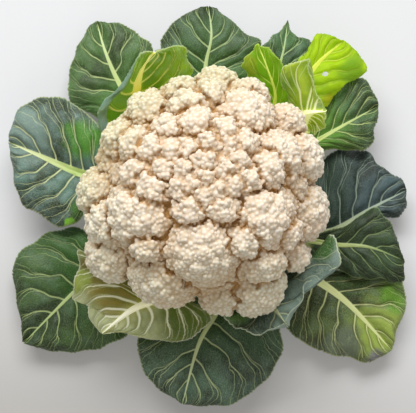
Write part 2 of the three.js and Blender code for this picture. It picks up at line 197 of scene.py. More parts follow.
def noise(scale, detail=3.0, stretch=None):
    """Soft noise over the piece, with scale in waves per metre."""
    place = Socket.node("TexCoord", output=3)
    if stretch:
        place = Socket.node("Mapping", Vector=place, Scale=stretch)
    return Socket.node("TexNoise", Vector=place, Scale=scale, Detail=detail)


deselect()
bpy.ops.mesh.primitive_circle_add(vertices=96, radius=STALK_RINGS[0][0] * MM, fill_type="NGON")
stalk = bpy.context.object
stalk.name = "stalk_stem"
bpy.ops.object.mode_set(mode="EDIT")
for (inner, low), (outer, high) in zip(STALK_RINGS, STALK_RINGS[1:]):
    bpy.ops.mesh.extrude_region_move(TRANSFORM_OT_translate={"value": (0, 0, (high - low) * MM)})
    bpy.ops.transform.resize(value=(outer / inner, outer / inner, 1))
bpy.ops.mesh.select_all(action="SELECT")
bpy.ops.mesh.normals_make_consistent(inside=False)
bpy.ops.object.mode_set(mode="OBJECT")
for v in stalk.data.vertices:
    branched = min(max((v.co.z / MM - BRANCHES_FROM) / BRANCHES_RISE, 0.0), 1.0)
    angle = math.atan2(v.co.y, v.co.x)
    groove = 1 - BRANCH_DEPTH * branched * (1 - abs(math.cos(BRANCHES * angle / 2)))
    rib = 1 - RIB_DEPTH * (1 - branched) * (1 + math.cos(STEM_RIBS * angle)) / 2
    v.co.x *= groove * rib
    v.co.y *= groove * rib
bpy.ops.object.shade_smooth_by_angle(angle=math.radians(40))

stalk_finish, shader = material("stalk_skin", Roughness=0.5, Specular_IOR_Level=0.4)
place = Socket.node("TexCoord", output=3)
height = Socket.node("SeparateXYZ", output=2, Vector=place)
cut = 1 - height.between(0.0002, 0.001)
streaks = noise(90.0, 4.0, stretch=(1.0, 1.0, 0.12))
skin = streaks.between(0.35, 0.65).mix(STALK_GREEN, STALK_PALE)
fibres = noise(900.0, 4.0).between(0.3, 0.7).mix(PITH, PITH_PALE)
feed(shader, Base_Color=cut.mix(skin, fibres))
stalk.data.materials.append(stalk_finish)
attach(stalk, "root")
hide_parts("stalk")


# The head: a dense dome of florets, each covered in knobs, and each knob in tight round buds. The
# florets stand where the photograph shows them, and a rule fills the rest. All are one fused skin.

HEAD_CENTRE = np.array([0.0, 0.0, 72.0])
HEAD_RADIUS, HEAD_TOP, HEAD_UNDER = 84.0, 58.0, 30.0
FLORETS = [  # across, up and radius in mm, as the camera sees them from the head's middle
    # the crown
    (2, 15, 10), (-12, 11, 6), (14, 11, 7), (-6, 2, 6), (-13, 0, 6), (10, -1, 6), (18, 2, 7),
    (2, 6, 5), (1, -5, 6), (4, 26, 9), (-8, 24, 6), (16, 26, 7), (22, 17, 7), (28, 5, 7),
    # the first ring
    (-7, -13, 9), (11, -12, 9), (39, 11, 11), (25, 26, 8), (13, 34, 8), (-3, 37, 11),
    (-21, 36, 8), (-18, 22, 7), (-23, 12, 7), (-30, -1, 11), (-41, 9, 8), (-31, 22, 9),
    # the second ring
    (-41, 26, 11), (-8, 50, 13), (27, 46, 17), (47, 19, 15), (33, -18, 18), (0, -34, 19),
    (-35, -16, 18), (-36, -36, 9), (25, -32, 9), (53, -28, 11),
    # the outermost, which bulge out over the leaves
    (-35, 50, 15), (-53, 32, 13), (-66, -4, 18), (-60, -22, 17), (-61, -44, 17), (-25, -55, 22),
    (39, -46, 15), (15, -67, 17), (35, -65, 19), (62, -45, 10), (66, -15, 19), (64, 20, 17),
    (56, 44, 13), (10, 69, 15), (31, 62, 13), (4, 60, 12), (-13, 64, 11),
]
UNDER_FLORETS, UNDER_RING, UNDER_HEIGHT, UNDER_RADIUS = 12, 52.0, 59.0, 17.0
FILLER_RADIUS, FILLER_SINK, FILLER_APART, FILLER_LOWEST, FILLER_TRIES = 9.5, 9.5, 0.95, 54.0, 300
CORE_DEPTH, CORE_TOP_DEPTH = 13.0, 8.5
CREASE_CUT, CREASE_WIDTH = 3.0, 1.5
SETTLE = 3.0  # how far the outermost florets hang below the dome
SWELL, SWELL_RIM, BEAD_RISE = 1.50, 1.18, 1.2
RIM_FROM, RIM_WIDTH = 40.0, 25.0
KNOB_RADIUS, KNOB_APART, KNOB_OUT, KNOB_CUT, KNOB_STRAY = 4.2, 1.5, 0.6, 1.5, 1.2
CLUSTER_APART, CLUSTER_RISE = 4.8, 0.75
BUD_APART, BUD_RISE, BUD_REACH = 2.3, 1.05, 0.62
SMALLEST, LARGEST = 0.68, 1.32  # buds, as shares of their usual size
VOXEL = 0.70
PARTING = 92.0  # the height where the crown is parted from the lower florets
HEART = (0.0, 0.0, 62.0)
CREAM, IVORY, GREENISH = (0.94, 0.82, 0.66), (0.93, 0.90, 0.77), (0.66, 0.68, 0.40)
CREASE_SHADE, BUD_TOP_HIGHLIGHT = (0.48, 0.27, 0.09), (1.0, 0.97, 0.92)
HEAD_SEED = 11


def golden_spiral(count):
    """Ways out from a point, spread evenly over a ball."""
    i = np.arange(count)
    z = 1 - (2 * i + 1) / count
    angle = i * math.pi * (3 - math.sqrt(5))
    r = np.sqrt(1 - z * z)
    return np.stack([r * np.cos(angle), r * np.sin(angle), z], 1)


def dome_axes(z, shrink):
    return np.array([HEAD_RADIUS, HEAD_RADIUS, HEAD_UNDER if z < 0 else HEAD_TOP]) - shrink


def floret_centre(across, up, radius):
    """Where the line of sight meets the dome that lies one floret's radius inside the head."""
    axes = dome_axes(1, radius)
    line = np.array(towards)
    start = np.array([across, up * math.sin(tilt), up * math.cos(tilt)])
    p, d = start / axes, line / axes
    nearest = -p @ d / (d @ d)
    room = nearest**2 - (p @ p - 1) / (d @ d)
    return HEAD_CENTRE + start + line * (nearest + math.sqrt(max(room, 0)))


# The florets press together, so each is the cap of a larger ball, most of all near the crown. The
# balls at the rim stand as much further in, so that the head's outline stays.
florets = []
for across, up, seen in FLORETS:
    off_axis = math.hypot(across, up)
    at_rim = min(max((off_axis - RIM_FROM) / RIM_WIDTH, 0), 1)
    radius = seen * (SWELL - (SWELL - SWELL_RIM) * at_rim)
    drawn_in = 1 - (radius - seen + BEAD_RISE) * at_rim / off_axis
    centre = floret_centre(across * drawn_in, up * drawn_in, radius)
    centre[2] -= SETTLE * at_rim
    florets.append((centre, radius))
for i in range(UNDER_FLORETS):
    angle = 2 * math.pi * (i + 0.5) / UNDER_FLORETS
    centre = (UNDER_RING * math.cos(angle), UNDER_RING * math.sin(angle), UNDER_HEIGHT)
    florets.append((np.array(centre), UNDER_RADIUS))
for way in golden_spiral(FILLER_TRIES):
    centre = HEAD_CENTRE + way * dome_axes(way[2], FILLER_RADIUS + FILLER_SINK)
    room = all(np.linalg.norm(c - centre) > FILLER_APART * r for c, r in florets)
    if room and centre[2] > FILLER_LOWEST:
        florets.append((centre, FILLER_RADIUS))

draw = np.random.default_rng(HEAD_SEED)
balls = []
for n, (centre, radius) in enumerate(florets):
    balls.append((centre, radius - KNOB_CUT))
    knob = KNOB_RADIUS * (0.8 + 0.02 * radius)
    reach = radius + KNOB_OUT - knob
    count = round(4 * math.pi * reach**2 / (KNOB_APART * knob) ** 2)
    for way in golden_spiral(count):
        way = way + draw.normal(0, KNOB_STRAY / radius, 3)
        way /= np.linalg.norm(way)
        size = knob * draw.uniform(0.8, 1.2)
        at = centre + way * (radius + KNOB_OUT - size)
        others = (floret for m, floret in enumerate(florets) if m != n)
        if all(np.linalg.norm(c - at) > r - 0.8 * size for c, r in others):
            balls.append((at, size))


def round_ball(level):
    deselect()
    bpy.ops.mesh.primitive_ico_sphere_add(subdivisions=level, radius=1.0)
    ball = bpy.context.object
    points = np.array([v.co for v in ball.data.vertices])
    faces = np.array([p.vertices for p in ball.data.polygons])
    bpy.ops.object.delete()
    return points, faces


# A low ball is copied to every knob, and a finer one to every floret and, pressed flat, to the
# dome inside.
low_ball, fine_ball = round_ball(3), round_ball(5)
points, faces, used = [], [], 0
core_wide, core_low = HEAD_RADIUS - CORE_DEPTH, HEAD_UNDER - CORE_DEPTH
core_high = HEAD_TOP - CORE_TOP_DEPTH
for centre, radius in [(HEAD_CENTRE, core_wide), *balls]:
    ball_points, ball_faces = fine_ball if radius > 8 else low_ball
    placed = ball_points * radius
    if radius == core_wide:
        placed[:, 2] *= np.where(placed[:, 2] < 0, core_low, core_high) / core_wide
    points.append(placed + centre)
    faces.append(ball_faces + used)
    used += len(ball_points)
head_mesh = bpy.data.meshes.new("head")
head_mesh.from_pydata((np.concatenate(points) * MM).tolist(), [], np.concatenate(faces).tolist())
head = bpy.data.objects.new("head_florets", head_mesh)
bpy.context.scene.collection.objects.link(head)
bpy.context.view_layer.objects.active = head
head.select_set(True)

fuse = head.modifiers.new("fuse", "REMESH")
fuse.mode = "VOXEL"
fuse.voxel_size = VOXEL * MM
bpy.ops.object.modifier_apply(modifier="fuse")
smooth = head.modifiers.new("smooth", "SMOOTH")
smooth.factor = 0.5
smooth.iterations = 3
bpy.ops.object.modifier_apply(modifier="smooth")


def skin_of(mesh):
    """Where each vertex is, and which way the skin faces there."""
    at, facing = np.empty((2, len(mesh.vertices), 3))
    mesh.vertices.foreach_get("co", at.reshape(-1))
    mesh.vertex_normals.foreach_get("vector", facing.reshape(-1))
    return at, facing


def buds(mesh, apart, rise, seed):
    """Raises a round bud at each of many points spread over the skin, and gives how deep each
    vertex then lies in the creases between them: 0 on a bud's top, 1 down between two."""
    draw = np.random.default_rng(seed)
    at, facing = skin_of(mesh)
    tree = KDTree(len(at))
    for i, p in enumerate(at):
        tree.insert(p, i)
    tree.balance()
    free = np.ones(len(at), bool)
    chosen = []
    for i in draw.permutation(len(at)):
        if free[i]:
            size = apart * draw.uniform(SMALLEST, LARGEST)
            chosen.append((i, size))
            for _, j, _ in tree.find_range(at[i], size):
                free[j] = False
    tops = KDTree(len(chosen))
    for k, (i, _) in enumerate(chosen):
        tops.insert(at[i], k)
    tops.balance()
    depth = np.empty(len(at))
    for i, p in enumerate(at):
        near = tops.find_n(p, 3)
        depth[i] = min(distance / (BUD_REACH * chosen[k][1]) for _, k, distance in near)
    depth = np.clip(depth, 0, 1)
    at += facing * (rise * (np.sqrt(1 - 0.96 * depth**2) - 0.35))[:, None]
    mesh.vertices.foreach_set("co", at.ravel())
    mesh.update()
    return depth


# Between two florets the skin runs down into a crease, which wanders a little. It is deepest where
# the larger florets meet. Clusters of buds are raised next, and single buds on those.
at, facing = skin_of(head.data)
at /= MM
first, second = np.full(len(at), 1e9), np.full(len(at), 1e9)
girth = np.zeros(len(at))
warped = at + 1.3 * np.sin(at[:, [1, 2, 0]] * 0.55 + 2.0) + 0.8 * np.sin(at[:, [2, 0, 1]] * 1.1)
for c, r in florets:
    reach = np.linalg.norm(warped - c, axis=1) - r
    girth = np.where(reach < first, r, girth)
    second = np.minimum(second, np.maximum(first, reach))
    first = np.minimum(first, reach)
floret_crease = np.exp(-(((second - first) / CREASE_WIDTH) ** 2)) * np.clip(girth / 18, 0.4, 1)
at -= facing * (floret_crease * CREASE_CUT)[:, None]
head.data.vertices.foreach_set("co", (at * MM).ravel())
head.data.update()
depths = {"floret_crease": floret_crease}
depths["cluster_depth"] = buds(head.data, CLUSTER_APART * MM, CLUSTER_RISE * MM, 1)
depths["bud_depth"] = buds(head.data, BUD_APART * MM, BUD_RISE * MM, 2)
# How far the skin lies sunk below the dome, which the finish darkens as painted shade.
from_centre = skin_of(head.data)[0] / MM - HEAD_CENTRE
below = from_centre[:, 2:] < 0
outward = from_centre / np.where(below, dome_axes(-1, 0), dome_axes(1, 0))
depths["sunk"] = np.clip((0.97 - np.linalg.norm(outward, axis=1)) / 0.13, 0, 1)
for name, values in depths.items():
    head.data.attributes.new(name, "FLOAT", "POINT").data.foreach_set("value", values)
bpy.ops.object.shade_smooth()


def attribute(name):
    return Socket.node("Attribute", {"attribute_name": name}, output=2)


# The skin is ivory or green at the rim and cream at the crown. Painted highlight makes it palest
# on the buds' tops, and painted shade turns it buff where it runs down between them and where it
# lies sunk below the dome.
head_finish, shader = material(
    "floret_skin", Roughness=0.6, Specular_IOR_Level=0.3, Subsurface_Weight=0.08,
    Subsurface_Radius=(0.003, 0.002, 0.001), Subsurface_Scale=0.4,
)
place, east, north = ways()
patches = noise(28.0, 2.0)
rim = (east * east + north * north).math("SQRT").between(0.03, 0.075)
shaded_side = (north * 0.8 - east * 0.6 + patches * 0.03 - 0.015).between(0.01, 0.06)
front = (0.02 - north * 0.9 - east * 0.2 + patches * 0.02).between(0.04, 0.09)
base = (rim * patches.between(0.3, 0.7)).mix(CREAM, IVORY)
base = ((shaded_side * 0.8).math("MAXIMUM", front * 0.35) * rim).mix(base, GREENISH)
# Painted highlight: the buds' tops are painted palest.
base = ((1 - attribute("bud_depth")) * 0.5).mix(base, BUD_TOP_HIGHLIGHT)
# Painted shade: the skin turns buff in the creases between buds, clusters and florets, and where it
# lies sunk.
crease = attribute("bud_depth").math("POWER", 3.0) * 0.26 + attribute("cluster_depth") * 0.16
crease = crease + attribute("floret_crease") * 0.6 + attribute("sunk") * 0.30
base = crease.math("MINIMUM", 1.0).mix(base, CREASE_SHADE)
feed(shader, Base_Color=base)
head.data.materials.append(head_finish)


def spread(start, allowed):
    """The faces reached from one face over edges without leaving the allowed ones."""
    reached, waiting = {start}, [start]
    while waiting:
        for edge in waiting.pop().edges:
            for face in edge.link_faces:
                if face not in reached and allowed(face):
                    reached.add(face)
                    waiting.append(face)
    return reached


def part_off(piece, name, place, limit):
    """Separates the faces that lie past the limit, and gives them as a piece of their own."""
    cage = bmesh.new()
    cage.from_mesh(piece.data)
    level = {face: place(face.calc_center_median()) for face in cage.faces}
    past = spread(max(level, key=level.get), lambda face: level[face] > limit)
    kept = spread(min(level, key=level.get), lambda face: face not in past)
    chosen = [face not in kept for face in cage.faces]
    cage.free()
    deselect()
    piece.select_set(True)
    bpy.context.view_layer.objects.active = piece
    piece.data.polygons.foreach_set("select", chosen)
    bpy.ops.object.mode_set(mode="EDIT")
    bpy.ops.mesh.select_mode(type="FACE")
    bpy.ops.mesh.separate(type="SELECTED")
    bpy.ops.object.mode_set(mode="OBJECT")
    parted = next(other for other in bpy.context.selected_objects if other != piece)
    parted.name = name
    return parted


# The head is parted into the crown and the lower florets behind and in front, which are three
# pieces. Each is closed by a cone that runs in to one point at the heart of the head.
crown = part_off(head, "head_crown", lambda p: p.z, PARTING * MM)
back = part_off(head, "head_back", lambda p: p.y, 0.0)
for piece in (head, crown, back):
    deselect()
    piece.select_set(True)
    bpy.context.view_layer.objects.active = piece
    bpy.ops.object.mode_set(mode="EDIT")
    bpy.ops.mesh.select_mode(type="EDGE")
    bpy.ops.mesh.select_all(action="DESELECT")
    bpy.ops.mesh.select_non_manifold()
    bpy.ops.mesh.mark_sharp()
    bpy.ops.mesh.extrude_edges_move()
    bpy.ops.mesh.merge(type="CENTER")
    bpy.ops.object.mode_set(mode="OBJECT")
    for vertex in piece.data.vertices:
        if vertex.select:
            vertex.co = Vector(HEART) * MM
    bpy.ops.object.mode_set(mode="EDIT")
    bpy.ops.mesh.select_all(action="SELECT")
    bpy.ops.mesh.normals_make_consistent(inside=False)
    bpy.ops.object.mode_set(mode="OBJECT")
    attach(piece, "root")
    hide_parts("curd")


# The leaves: eleven spread flat round the head in two layers, and five that rise against it. Each
# has a thick pale rib, keeled below, that runs down as its stem to the stalk, and a thin waxy blade
# with veins and a toothed, ruffled edge.

STALK_RADIUS = 24.0
STEM_HALF, KEEL, BLADE_THICKNESS = 7.5, 5.5, 0.9
RIB_HALF, RIB_RISE = 3.7, 1.5
ROW_PITCH, STEM_ROWS, SIDE_COLUMNS = ((1.15, 14, 22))
VEIN_PITCH, VEIN_SLOPE, VEIN_PUFF, VEIN_SWAY = 12.0, 0.26, 1.8, 0.075
TOOTH_DEPTH, TOOTH_PITCH, EDGE_WAVE, FRILL = 1.2, 3.0, 0.8, 1.8
RIB_END = 0.992  # the blade stops just short of the rib's last point, where its edges meet
DEEPEN, LIGHTEN = 0.54, 1.12  # how far the two greens of a blade are drawn apart
GLOW_SHARE = 0.5  # how much of a young blade's light comes through it
# How far from the head's axis, in metres, the painted shade and light by the head reach, and over how
# much they fade.
HEAD_SHADE_REACH, HEAD_SHADE_FADE = 0.145, 0.04
HOLE_RADIUS = 0.003
# Foot is the angle and the height where the stem leaves the stalk, arch is how far each half of
# the blade bows up, and wave is the height and the number of its ripples. Rib, left and right are
# points in mm along the rib and the two edges. The look is six screen colours: the deep and the
# light green, the veins, the rib, the back and bloom, and the colour in by the head, which is
# painted shade and painted light through the leaf, as far out as head_shade_reach in metres.
# Patches are places and reaches in mm, with their colours: some the leaf's own, some painted shade
# where the head or another leaf shades it. A curl is the width of an edge strip that rolls over,
# its width at the tip, the radius of the roll and how far round it goes. Glow is the colour of
# light through a young leaf, and lift how brightly its rib and veins are painted to glow, as
# if lit from behind.
LEAVES = {
    "leaf_left": dict(
        foot=(166, 21), arch=4, wave=(2, 4), rib_wide=1.1,
        rib=[(-64, 14, 25), (-87, 20, 27), (-114, 32, 28), (-137, 43, 24)],
        left=[
            (-78, -3, 27), (-88, -15, 29), (-98, -19, 28), (-113, -10, 26), (-126, -3, 24),
            (-132, 12, 23), (-136, 30, 23),
        ],
        right=[
            (-66, 29, 28), (-67, 41, 31), (-77, 57, 33), (-94, 70, 33), (-112, 75, 31),
            (-127, 69, 28), (-136, 56, 25),
        ],
        look=[
            (34, 68, 54), (78, 114, 104), (214, 222, 164),
            (172, 196, 104), (122, 152, 150), (40, 104, 16),
        ],
        head_shade_reach=0.10,
        patches=[
            ((-84, 44, 18), (58, 128, 4)), ((-128, 48, 30), (112, 138, 132)),
            ((-92, -16, 5), (120, 190, 16)), ((-82, -8, 12), (40, 104, 16)),
        ],
    ),
    "leaf_upper_left": dict(
        foot=(125, 11), arch=3, wave=(1.5, 4), rib_wide=0.75,
        rib=[(-41, 56, 13), (-62, 91, 16), (-71, 112, 17), (-78, 136, 13)],
        left=[
            (-66, 57, 15), (-83, 67, 16), (-95, 73, 16), (-98, 85, 16), (-96, 100, 16),
            (-91, 118, 15), (-85, 130, 14),
        ],
        right=[
            (-37, 71, 15), (-34, 93, 16), (-36, 111, 16), (-42, 122, 16), (-52, 130, 15),
            (-66, 135, 14),
        ],
        look=[
            (40, 76, 26), (64, 102, 46), (196, 212, 146),
            (196, 212, 132), (92, 120, 84), (54, 112, 18),
        ],
    ),
    "leaf_top": dict(
        foot=(88, 11), arch=3, wave=(1.5, 4), rib_wide=0.6,
        rib=[(2, 68, 14), (2, 102, 17), (6, 122, 20), (4, 146, 17)],
        left=[
            (-14, 75, 15), (-25, 97, 16), (-31, 117, 16), (-27, 128, 16), (-18, 138, 16),
            (-8, 144, 16),
        ],
        right=[
            (21, 76, 17), (37, 101, 18), (41, 120, 17), (31, 127, 17), (21, 135, 17),
            (12, 143, 17),
        ],
        look=[
            (38, 70, 26), (62, 94, 52), (180, 200, 140),
            (190, 204, 132), (96, 120, 104), (46, 96, 24),
        ],
    ),
    "leaf_top_right": dict(
        foot=(51, 11), arch=2, wave=(1.5, 4), rib_wide=0.5,
        rib=[(38, 68, 13), (53, 95, 15), (59, 115, 16), (62, 137, 14)],
        left=[(33, 81, 11), (43, 101, 13), (44, 119, 14), (50, 123, 15), (56, 129, 15)],
        right=[
            (59, 78, 14), (70, 90, 15), (79, 102, 15), (82, 114, 15), (77, 122, 15), (70, 123, 15),
            (66, 126, 15),
        ],
        look=[
            (44, 80, 40), (70, 108, 62), (176, 198, 140),
            (180, 198, 130), (100, 130, 110), (92, 146, 10),
        ],
    ),
    "leaf_right_backlit": dict(
        foot=(58, 21), arch=2, wave=(1.5, 4),
        rib=[(47, 57, 34), (68, 79, 38), (82, 97, 40), (100, 114, 36)],
        left=[
            (47, 73, 34), (62, 91, 37), (72, 104, 38), (77, 112, 39), (80, 118, 38),
            (87, 119, 38), (94, 116, 37),
        ],
        right=[
            (67, 55, 36), (84, 64, 38), (92, 72, 38), (98, 80, 38), (107, 85, 37),
            (115, 92, 36), (112, 103, 35), (107, 109, 35),
        ],
        glow=(222, 250, 0), hole=(86, 88), rim=0.3,
        look=[
            (156, 204, 0), (200, 232, 0), (236, 244, 90),
            (240, 244, 90), (156, 200, 6), (176, 210, 0),
        ],
        patches=[((92, 68, 8), (196, 176, 6)), ((106, 92, 14), (120, 168, 40))],
    ),
    "leaf_right_upper": dict(
        foot=(17, 21), arch=3, wave=(1.5, 4), rib_wide=0.65,
        rib=[(58, 30, 23), (77, 41, 26), (97, 53, 27), (125, 70, 22)],
        left=[
            (67, 49, 24), (82, 66, 26), (98, 83, 28), (113, 90, 27), (120, 83, 25),
            (124, 77, 23),
        ],
        right=[
            (70, 28, 25), (83, 36, 26), (93, 37, 27), (106, 37, 26), (119, 39, 24),
            (122, 53, 22), (125, 61, 22),
        ],
        look=[
            (36, 72, 30), (62, 96, 56), (190, 208, 134),
            (200, 212, 124), (92, 120, 100), (84, 140, 12),
        ],
    ),
    "leaf_right": dict(
        foot=(-9, 11), arch=2, wave=(3, 4), rib_wide=0.8,
        rib=[(72, -22, 16), (91, -20, 17), (117, -5, 18), (145, 10, 15)],
        left=[
            (76, -1, 16), (81, 21, 17), (92, 37, 18), (107, 39, 18), (119, 37, 18),
            (124, 28, 18), (133, 23, 18), (142, 17, 16),
        ],
        right=[
            (84, -29, 17), (103, -25, 17), (120, -14, 15), (130, -10, 16), (139, -9, 16),
            (145, -1, 15),
        ],
        look=[
            (28, 46, 46), (66, 88, 94), (150, 168, 150),
            (170, 182, 134), (88, 106, 108), (26, 50, 30),
        ],
    ),
    "leaf_right_lower": dict(
        foot=(-26, 21), arch=2, wave=(2, 5), rib_wide=0.6,
        rib=[(71, -27, 25), (92, -31, 28), (114, -33, 31), (140, -42, 26)],
        left=[
            (80, -22, 27), (99, -18, 29), (119, -6, 31), (128, -12, 30), (133, -22, 29),
            (137, -32, 28),
        ],
        right=[
            (83, -43, 26), (99, -51, 27), (112, -55, 28), (124, -55, 28), (133, -58, 26),
            (139, -55, 25),
        ],
        look=[
            (20, 40, 18), (44, 66, 34), (140, 160, 104),
            (190, 202, 128), (70, 92, 78), (24, 46, 16),
        ],
    ),
    "leaf_lower_right": dict(
        foot=(-49, 11), arch=3, wave=(2, 5), rib_wide=0.95,
        rib=[(62, -43, 14), (77, -53, 16), (99, -69, 18), (132, -103, 11)],
        left=[
            (81, -44, 12), (100, -47, 14), (121, -47, 17), (138, -53, 16), (143, -67, 15),
            (139, -81, 14), (135, -93, 13),
        ],
        right=[
            (51, -61, 14), (48, -77, 14), (61, -90, 14), (77, -102, 13), (96, -107, 12),
            (118, -111, 11),
        ],
        look=[
            (40, 62, 24), (86, 108, 54), (222, 228, 160),
            (222, 228, 160), (100, 122, 110), (30, 60, 10),
        ],
        patches=[
            ((66, -66, 26), (20, 42, 12)), ((120, -90, 26), (146, 168, 66)),
            ((132, -65, 13), (88, 140, 16)), ((98, -98, 18), (92, 106, 86)),
            ((121, -110, 11), (118, 116, 126)), ((104, -52, 18), (40, 74, 16)),
        ],
    ),
    "leaf_bottom": dict(
        foot=(-82, 21), arch=3, wave=(2, 4), rib_wide=0.65,
        rib=[(15, -59, 24), (10, -77, 26), (-2, -98, 28), (-14, -140, 19)],
        left=[
            (34, -69, 26), (50, -82, 27), (55, -96, 27), (54, -105, 26), (47, -119, 24),
            (38, -129, 22), (24, -138, 20), (4, -142, 18),
        ],
        right=[
            (-9, -69, 26), (-29, -83, 27), (-44, -95, 27), (-44, -107, 26), (-41, -117, 24),
            (-31, -129, 21), (-23, -135, 19),
        ],
        look=[
            (38, 66, 50), (70, 98, 80), (196, 210, 156),
            (210, 220, 156), (94, 118, 106), (34, 72, 26),
        ],
    ),
    "leaf_lower_left": dict(
        foot=(-147, 11), arch=4, wave=(2, 4), rib_wide=0.55,
        rib=[(-60, -39, 14), (-86, -59, 16), (-103, -76, 17), (-125, -98, 11)],
        left=[
            (-53, -58, 14), (-50, -77, 15), (-53, -93, 15), (-68, -100, 14), (-83, -104, 12),
            (-100, -104, 11), (-114, -102, 11),
        ],
        right=[
            (-74, -26, 14), (-87, -18, 15), (-100, -18, 15), (-114, -23, 15), (-128, -34, 14),
            (-135, -48, 12), (-132, -62, 12), (-129, -76, 11), (-127, -89, 11),
        ],
        look=[
            (28, 58, 20), (50, 80, 34), (172, 190, 126),
            (178, 194, 124), (76, 104, 84), (34, 92, 8),
        ],
    ),
    "inner_leaf_upper_left": dict(
        foot=(125, 33), arch=2, wave=(1, 4),
        rib=[(-45, 56, 44), (-47, 65, 62), (-44, 74, 76), (-40, 81, 83), (-32, 90, 87)],
        left=[
            (-62, 42, 46), (-71, 26, 54), (-67, 37, 64), (-71, 47, 72), (-68, 57, 78),
            (-57, 68, 84), (-45, 81, 88), (-39, 89, 88),
        ],
        right=[(-24, 73, 48), (-8, 80, 58), (-9, 88, 70), (-12, 95, 80), (-20, 95, 84)],
        curl={"left": (17.0, 9.0, 1.8, 2.8)}, slope=0.5, veins=7, rib_wide=1.8, vein_wide=1.5,
        rim=0.8,
        glow=(206, 244, 20), head_shade_reach=0.08, lift=0.28,
        look=[
            (104, 150, 16), (164, 194, 38), (254, 254, 190),
            (250, 232, 90), (158, 184, 194), (60, 116, 10),
        ],
        patches=[
            # The first patch is painted shade, where the inner face is shaded.
            ((-56, 66, 17), (108, 138, 116)), ((-60, 48, 11), (64, 134, 10)),
            ((-33, 66, 11), (62, 100, 44)),
        ],
    ),
    "inner_leaf_top_right": dict(
        foot=(70, 33), arch=2, wave=(1, 4),
        rib=[(47, 54, 44), (50, 68, 58), (44, 83, 70), (37, 99, 77)],
        left=[(41, 63, 50), (37, 75, 58), (32, 81, 62), (26, 86, 66), (29, 90, 70), (33, 95, 74)],
        right=[(59, 60, 54), (60, 71, 62), (57, 80, 68), (52, 89, 72), (45, 95, 75)],
        glow=(210, 246, 10), rib_wide=0.4, vein_wide=1.3, rim=0.9, slope=0.5, lift=0.2,
        look=[
            (172, 216, 10), (220, 242, 50), (240, 250, 130),
            (214, 230, 90), (160, 186, 50), (116, 182, 0),
        ],
        patches=[((28, 86, 9), (168, 160, 50))],
    ),
    "inner_leaf_folded": dict(
        foot=(32, 33), arch=-3, wave=(1, 4),
        rib=[(67, 47, 46), (68, 51, 64), (73, 50, 80), (80, 49, 86)],
        left=[
            (59, 58, 66), (54, 70, 78), (53, 80, 84), (62, 82, 88), (71, 84, 90),
            (71, 73, 88), (74, 63, 88), (78, 56, 87),
        ],
        right=[(72, 44, 58), (76, 39, 66), (80, 41, 74), (81, 44, 82)],
        veins=9, slope=0.1, rim=0.8, head_shade_reach=0.07,
        glow=(226, 252, 40), vein_wide=1.7, rib_wide=1.8, lift=0.34,
        look=[
            (176, 200, 22), (214, 228, 66), (255, 255, 214),
            (246, 242, 186), (166, 184, 110), (70, 110, 20),
        ],
        # The first patch is painted shadow, where the leaf behind shades the hollow.
        patches=[((53, 66, 13), (64, 92, 30)), ((78, 56, 8), (160, 168, 150))],
    ),
    "inner_leaf_lower_right": dict(
        foot=(-56, 33), arch=-5, wave=(1.5, 5),
        rib=[(34, -56, 40), (43, -69, 46), (48, -78, 56), (54, -88, 66)],
        left=[
            (66, -47, 48), (81, -35, 58), (85, -30, 66), (91, -41, 66), (90, -51, 62),
            (77, -56, 58), (69, -62, 58), (66, -72, 60), (57, -81, 64),
        ],
        right=[
            (32, -71, 44), (20, -80, 52), (14, -82, 55), (22, -91, 58), (34, -94, 60),
            (46, -92, 63),
        ],
        rim=0.8, head_shade_reach=0.09,
        look=[
            (72, 104, 92), (128, 152, 142), (214, 222, 180),
            (214, 222, 176), (140, 160, 150), (44, 96, 14),
        ],
        patches=[((20, -78, 14), (84, 128, 52)), ((78, -36, 14), (56, 104, 40))],
    ),
    "inner_leaf_lower_left": dict(
        foot=(-114, 33), arch=-2, wave=(2, 5), rib_wide=1.2,
        rib=[(-24, -57, 40), (-30, -70, 46), (-47, -78, 50), (-68, -94, 45)],
        left=[
            (-9, -71, 46), (3, -79, 50), (6, -82, 52), (1, -90, 50), (-7, -97, 48),
            (-22, -99, 46), (-42, -96, 46), (-55, -93, 45),
        ],
        right=[
            (-62, -53, 44), (-73, -45, 50), (-84, -38, 54), (-83, -49, 52), (-86, -61, 50),
            (-88, -71, 48), (-78, -73, 47), (-76, -83, 46),
        ],
        glow=(222, 226, 116), head_shade_reach=0.07, rim=0.9, veins=8, slope=0.4, vein_wide=1.6, lift=0.24,
        look=[
            (190, 206, 128), (240, 244, 196), (255, 255, 240),
            (252, 248, 206), (172, 190, 176), (150, 118, 44),
        ],
        patches=[
            # The first two patches are painted shade, where the head shades the leaf.
            ((-58, -60, 30), (166, 132, 50)), ((-73, -46, 17), (112, 78, 34)),
            ((-82, -60, 9), (168, 188, 80)), ((-10, -82, 28), (62, 108, 20)),
        ],
    ),
}


def rail(points, count=600):
    """A smooth curve through the points, as evenly spaced places along it."""
    p = np.array(points, float)
    p = np.vstack([2 * p[0] - p[1], p, 2 * p[-1] - p[-2]])
    s = np.linspace(0, 1, 40, endpoint=False)[:, None]
    runs = []
    for a, b, c, d in zip(p, p[1:], p[2:], p[3:]):
        before, across, after = [math.sqrt(np.linalg.norm(v)) for v in (b - a, c - b, d - c)]
        start = (b - a) / before - (c - a) / (before + across) + (c - b) / across
        end = (c - b) / across - (d - b) / (across + after) + (d - c) / after
        runs.append(
            b * (2 * s**3 - 3 * s**2 + 1) + start * across * (s**3 - 2 * s**2 + s)
            + c * (3 * s**2 - 2 * s**3) + end * across * (s**3 - s**2)
        )
    dense = np.vstack([*runs, p[-2:-1]])
    length = np.append(0, np.cumsum(np.linalg.norm(np.diff(dense, axis=0), axis=1)))
    even = np.linspace(0, length[-1], count)
    return np.stack([np.interp(even, length, dense[:, k]) for k in range(3)], 1)


